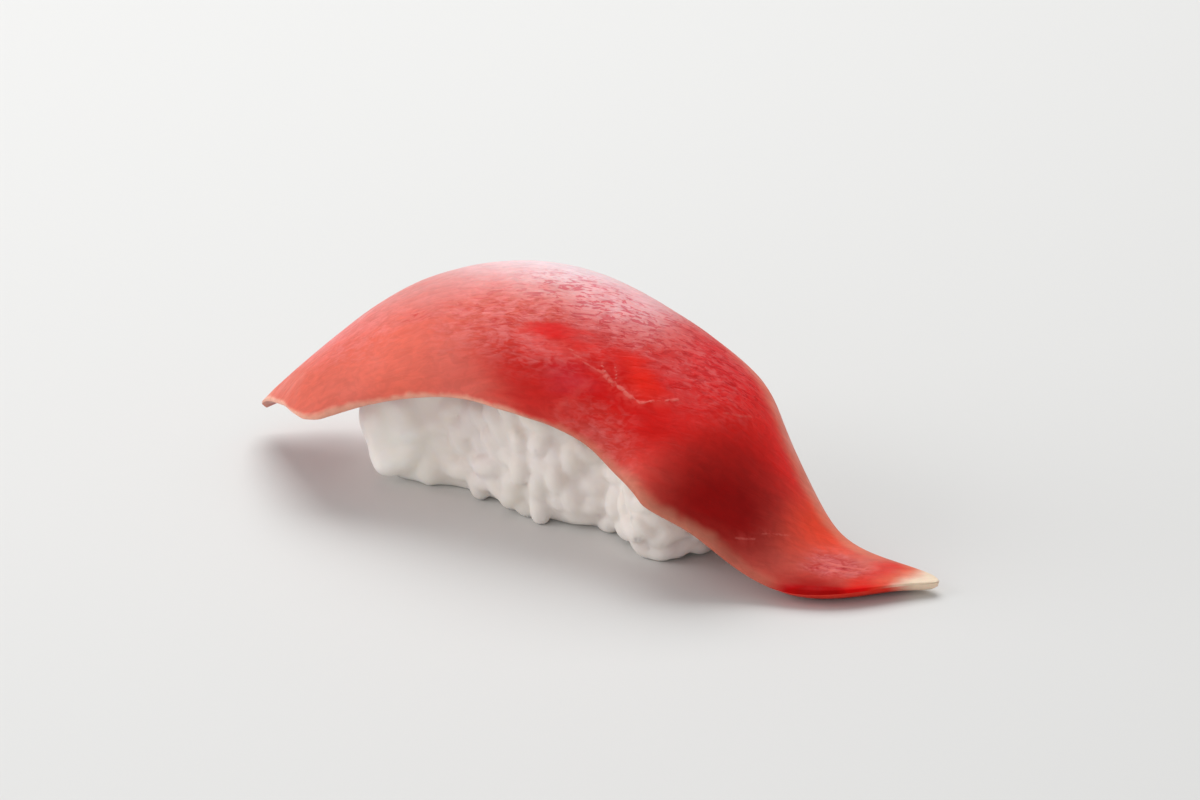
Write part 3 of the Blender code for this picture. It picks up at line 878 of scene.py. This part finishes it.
def lay_grains(core, finish):
    """The grains that show, as one mesh, raised to the table where they would cross it."""
    grain = grain_mesh()
    carrier = add_object("grain_bed", core.data.copy())
    scatter = carrier.modifiers.new("lay_grains", "NODES")
    scatter.node_group = grain_tree()
    given = {
        "Grain": grain,
        "Spacing": GRAIN_SPACING,
        "Sink": GRAIN_SINK,
        "Seed": GRAIN_SEED,
        "Material": finish,
    }
    for item in scatter.node_group.interface.items_tree:
        if item.in_out == "INPUT" and item.name in given:
            scatter[item.identifier] = given[item.name]
    mesh = evaluated_mesh(carrier, "rice_grains")
    bm = bmesh.new()
    bm.from_mesh(mesh)
    lift_to_table(bm)
    bmesh.ops.recalc_face_normals(bm, faces=bm.faces)
    bm.to_mesh(mesh)
    bm.free()
    mesh.shade_smooth()
    piece = add_object("rice_grains", mesh)
    for helper in (carrier, grain):
        bpy.data.objects.remove(helper)
    return piece


def relax(points, edges, weight, rounds):
    """Draws each point towards the middle of its neighbours by its weight, a number of times."""
    first, second = edges.T
    size = len(points)
    count = np.bincount(edges.ravel(), minlength=size)
    for _ in range(rounds):
        for k in range(3):
            line = points[:, k]
            total = np.bincount(first, line[second], size) + np.bincount(second, line[first], size)
            points[:, k] = line + weight * (total / count - line)


def build_paste(core, grains):
    """The starch film that joins the grains: both as one skin, smoothed into the gaps."""
    bm = bmesh.new()
    bm.from_mesh(core.data)
    bm.from_mesh(grains.data)
    mesh = bpy.data.meshes.new("paste_rough")
    bm.to_mesh(mesh)
    bm.free()
    carrier = add_object("paste_rough", mesh)
    skin = carrier.modifiers.new("skin", "REMESH")
    skin.mode = "VOXEL"
    skin.voxel_size = PASTE_VOXEL
    flow = carrier.modifiers.new("flow", "SMOOTH")
    flow.factor = PASTE_FLOW
    flow.iterations = PASTE_SMOOTHING
    mesh = evaluated_mesh(carrier, "rice_paste")
    bpy.data.objects.remove(carrier)

    places = np.empty(3 * len(mesh.vertices))
    mesh.vertices.foreach_get("co", places)
    places = places.reshape(-1, 3)
    edges = np.empty(2 * len(mesh.edges), np.int64)
    mesh.edges.foreach_get("vertices", edges)
    pressed = 0.5 * (1 - ease(places[:, 0], *PRESSED_PART))
    relax(places, edges.reshape(-1, 2), pressed, PRESSED_ROUNDS)
    mesh.vertices.foreach_set("co", places.ravel())
    mesh.update()

    bm = bmesh.new()
    bm.from_mesh(mesh)
    bmesh.ops.recalc_face_normals(bm, faces=bm.faces)
    bm.normal_update()
    for vert in bm.verts:
        left = 1 - float(ease(vert.co.x, *PRESSED_PART))
        vert.co += vert.normal * (PASTE_COVER + (PASTE_COVER_LEFT - PASTE_COVER) * left)
    lift_to_table(bm)
    bm.to_mesh(mesh)
    bm.free()
    mesh.materials.clear()
    mesh.shade_smooth()
    return add_object("rice_paste", mesh)


def mark_rice(piece, slice_tree):
    """Marks where the rice takes a little colour from the fish, and where it is pressed, which the
    rice material paints lighter as painted light under the slice's overhang.
    """
    blush, pressed = [], []
    for vert in piece.data.vertices:
        _, _, _, away = slice_tree.find_nearest(vert.co)
        blush.append(1 - float(ease(away, 0.2 * MM, BLUSH_REACH)))
        pressed.append(1 - float(ease(vert.co.x, *PRESSED_PART)))
    for name, values in (("blush", blush), ("pressed", pressed)):
        made = piece.data.attributes.new(name, "FLOAT", "POINT")
        made.data.foreach_set("value", values)


def new_material(name):
    made = bpy.data.materials.new(name)
    made.use_nodes = True
    return made, Nodes(made.node_tree), made.node_tree.nodes["Principled BSDF"]


def moist_group():
    """A damp surface: uneven gloss and a faint fine bump, for flesh and rice alike."""
    nodes, given, out = new_group(
        "moist_surface",
        "ShaderNodeTree",
        (("Place", "Vector"), ("Patch Scale", "Float"), ("Driest", "Float"), ("Wettest", "Float")),
        (("Roughness", "Float"), ("Height", "Float")),
    )
    inputs = {"Vector": given["Place"], "Scale": given["Patch Scale"], "Detail": 3}
    patches = nodes.add("ShaderNodeTexNoise", inputs).outputs["Fac"]
    inputs = {
        "Value": patches,
        "From Min": 0.35,
        "From Max": 0.65,
        "To Min": given["Wettest"],
        "To Max": given["Driest"],
    }
    spread = nodes.add("ShaderNodeMapRange", inputs)
    nodes.feed(out, {"Roughness": spread.outputs["Result"], "Height": patches})
    return nodes.tree


def marks_group():
    """Short marks that run with the fibres, as a mask from 0 to 1."""
    nodes, given, out = new_group(
        "fibre_marks",
        "ShaderNodeTree",
        (("Fibres", "Vector"), *((name, "Float") for name in MARK_SIZES)),
        (("Mask", "Float"),),
    )
    size = nodes.add("ShaderNodeCombineXYZ", {"X": given["Length"], "Y": given["Width"], "Z": 1})
    inputs = {0: given["Fibres"], 1: size.outputs["Vector"]}
    fit = nodes.add("ShaderNodeVectorMath", inputs, operation="DIVIDE")
    inputs = {
        "Vector": fit.outputs["Vector"],
        "W": given["Offset"],
        "Scale": 1,
        "Detail": 2.5,
        "Roughness": 0.55,
        "Distortion": 1.0,
    }
    grain = nodes.add("ShaderNodeTexNoise", noise_dimensions="4D")
    nodes.feed(grain, inputs)
    mask = nodes.fade(grain.outputs["Fac"], given["Start"], given["Full"])
    nodes.feed(out, {"Mask": mask})
    return nodes.tree


def flesh_material(moisture):
    """Raw tuna: painted colours, grooves and fibres that run with the muscle, thin sinews."""
    made, nodes, shader = new_material("raw_tuna")
    math_node, mix, attribute = nodes.math, nodes.mix, nodes.attribute
    marks = marks_group()
    uv = nodes.add("ShaderNodeUVMap", uv_map="fibres").outputs["UV"]
    in_mm = nodes.scaled(uv, FIBRE_UV_SIZE)

    def fibre_marks(*sizes):
        inputs = {"Fibres": in_mm, **dict(zip(MARK_SIZES, sizes))}
        return nodes.add("ShaderNodeGroup", inputs, node_tree=marks).outputs["Mask"]

    streaks = fibre_marks(3.5, 0.6, 0.30, 0.70, 3.1)
    mottle = fibre_marks(1.5, 1.0, 0.36, 0.66, 33.0)
    tone = math_node("MULTIPLY_ADD", streaks, 0.07, math_node("MULTIPLY_ADD", mottle, 0.10, 0.92))
    colour = nodes.scaled(attribute("flesh", "Color"), tone)
    fibred, grooved = attribute("fibred"), attribute("grooved")
    patchy = math_node("MULTIPLY", fibre_marks(2.1, 1.2, 0.44, 0.62, 51.0), fibred)
    colour = mix(colour, PALE_FIBRE, math_node("MULTIPLY", patchy, 0.5))
    pale = math_node("MULTIPLY", fibre_marks(1.3, 0.5, 0.47, 0.64, 7.7), fibred)
    colour = mix(colour, PALE_FIBRE, math_node("MULTIPLY", pale, 0.5))
    # the grooves darken the flesh: partly its deeper red, partly painted shade in the creases
    wide_groove_shade = math_node("MULTIPLY", fibre_marks(2.2, 0.9, 0.50, 0.64, 64.0), grooved)
    colour = mix(colour, GROOVE_SHADE, math_node("MULTIPLY", wide_groove_shade, 0.30), "MULTIPLY")
    dash = math_node("MULTIPLY", fibre_marks(1.35, 0.50, 0.50, 0.60, 12.3), grooved)
    colour = mix(colour, GROOVE_SHADE, math_node("MULTIPLY", dash, 0.8), "MULTIPLY")

    away, share = attribute("sinew_away"), attribute("sinew_share")
    haze = nodes.fade(away, 12, 0, most=0.3)
    cloudy = math_node("MULTIPLY", haze, math_node("MULTIPLY", share, mottle))
    colour = mix(colour, SINEW, cloudy)
    whole = fibre_marks(1.0, 0.8, 0.30, 0.58, 21.0)
    ragged = math_node("MULTIPLY_ADD", whole, -1.2, math_node("ADD", away, 1.2))
    sinew = math_node("MULTIPLY", nodes.fade(ragged, 2.3, 0.3), share)
    colour = mix(colour, SINEW, sinew)

    place = nodes.add("ShaderNodeTexCoord").outputs["Object"]
    film = nodes.moisture(moisture, place, 420, 0.50, 0.34)
    veined = math_node("MULTIPLY_ADD", fibred, 0.3, 0.2)
    height = math_node("MULTIPLY_ADD", film["Height"], 0.5, math_node("MULTIPLY", streaks, veined))
    height = math_node("MULTIPLY_ADD", dash, -0.3, height)
    height = math_node("MULTIPLY_ADD", sinew, 0.8, height)
    look = {
        "Base Color": colour,
        "Roughness": math_node("MULTIPLY_ADD", attribute("matt"), 0.5, film["Roughness"]),
        "Normal": nodes.bump(height, 0.5, 0.16 * MM),
        "Subsurface Weight": 0.2,
        "Subsurface Radius": (1.0, 0.30, 0.20),
        "Subsurface Scale": 1.4 * MM,
        "Specular IOR Level": 0.14,
    }
    nodes.feed(shader, look)
    return made


def rice_material(name, moisture, driest, wettest, fleck):
    """Cooked rice: warm grey white, translucent, sticky, and tinted where the fish is close; the
    pressed left is painted lighter, as painted light under the slice's overhang.
    """
    made, nodes, shader = new_material(name)
    place = nodes.add("ShaderNodeTexCoord").outputs["Object"]
    cloud = nodes.add("ShaderNodeTexNoise", {"Vector": place, "Scale": fleck, "Detail": 3})
    greyer, whiter = RICE_WHITE * (0.94, 0.93, 0.88), RICE_WHITE * (1.05, 1.02, 1.06)
    colour = nodes.mix((*greyer, 1), whiter, cloud.outputs["Fac"])
    # painted light: the pressed left of the rice is made lighter, where the slice's overhang shades
    # it
    painted_light_left = nodes.math("MULTIPLY_ADD", nodes.attribute("pressed"), PRESSED_PAINTED_LIGHT, 1.0)
    faint = nodes.math("MULTIPLY", nodes.attribute("blush"), BLUSH_STRENGTH)
    film = nodes.moisture(moisture, place, 900, driest, wettest)
    look = {
        "Base Color": nodes.mix(nodes.scaled(colour, painted_light_left), BLUSH, faint),
        "Roughness": film["Roughness"],
        "Normal": nodes.bump(film["Height"], 0.25, 0.2 * MM),
        "Subsurface Weight": 0.6,
        "Subsurface Radius": (1.0, 0.85, 0.7),
        "Subsurface Scale": 1.8 * MM,
        "Specular IOR Level": 0.4,
    }
    nodes.feed(shader, look)
    return made


def build_floor():
    bm = bmesh.new()
    bmesh.ops.create_grid(bm, x_segments=2, y_segments=2, size=FLOOR_REACH)
    mesh = bpy.data.meshes.new("floor")
    bm.to_mesh(mesh)
    bm.free()
    pale, nodes, shader = new_material("pale_floor")
    nodes.feed(shader, {"Base Color": FLOOR_COLOUR, "Roughness": 0.6})
    mesh.materials.append(pale)
    add_object("floor", mesh)


def build_camera():
    """The photograph's view: its scale and the place of the block's foot in the frame."""
    azimuth, elevation = math.radians(VIEW_AZIMUTH), math.radians(VIEW_ELEVATION)
    level = math.cos(elevation)
    back = Vector((math.sin(azimuth) * level, -math.cos(azimuth) * level, math.sin(elevation)))
    right = Vector((math.cos(azimuth), math.sin(azimuth), 0))
    data = bpy.data.cameras.new("view")
    data.sensor_width = SENSOR_WIDTH
    data.lens = SENSOR_WIDTH * VIEW_DISTANCE / (IMAGE_WIDTH / PIXELS_PER_M)
    data.clip_start = 0.01
    data.clip_end = 20
    made = add_object("view", data)
    middle = right * ((IMAGE_WIDTH / 2 - FOOT_PIXEL[0]) / PIXELS_PER_M)
    middle += back.cross(right) * ((FOOT_PIXEL[1] - IMAGE_HEIGHT / 2) / PIXELS_PER_M)
    made.location = back * VIEW_DISTANCE
    made.rotation_euler = (made.location - middle).to_track_quat("Z", "Y").to_euler()
    bpy.context.scene.camera = made


def build_lights():
    world = bpy.data.worlds.new("room")
    world.use_nodes = True
    room = world.node_tree.nodes["Background"].inputs
    room["Color"].default_value = (1, 1, 1, 1)
    room["Strength"].default_value = ROOM_LIGHT
    bpy.context.scene.world = world
    for name, place, size, power in LIGHTS:
        data = bpy.data.lights.new(name, "AREA")
        data.shape = "RECTANGLE"
        data.size, data.size_y = size
        data.energy = power
        made = add_object(name, data)
        made.location = place
        made.rotation_euler = (Vector(place) - Vector(LIGHT_AIM)).to_track_quat("Z", "Y").to_euler()


build_camera()
build_lights()
build_floor()
bpy.context.scene.view_settings.view_transform = "Standard"

moisture = moist_group()
tuna = build_slice(Slice())
tuna.data.materials.append(flesh_material(moisture))
slice_tree = tree_of(tuna)

core = build_core(slice_tree)
grains = lay_grains(core, rice_material("cooked_grains", moisture, 0.55, 0.4, 260))
paste = build_paste(core, grains)
for piece in (paste, grains):
    mark_rice(piece, slice_tree)
paste.data.materials.append(rice_material("rice_paste", moisture, 0.62, 0.5, 180))
bpy.data.objects.remove(core)

for piece, node, finish in (
    (tuna, "tuna_slice", "tuna"),
    (paste, "rice", "rice"),
    (grains, "rice", "rice"),
):
    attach(piece, "root")
    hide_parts(node)
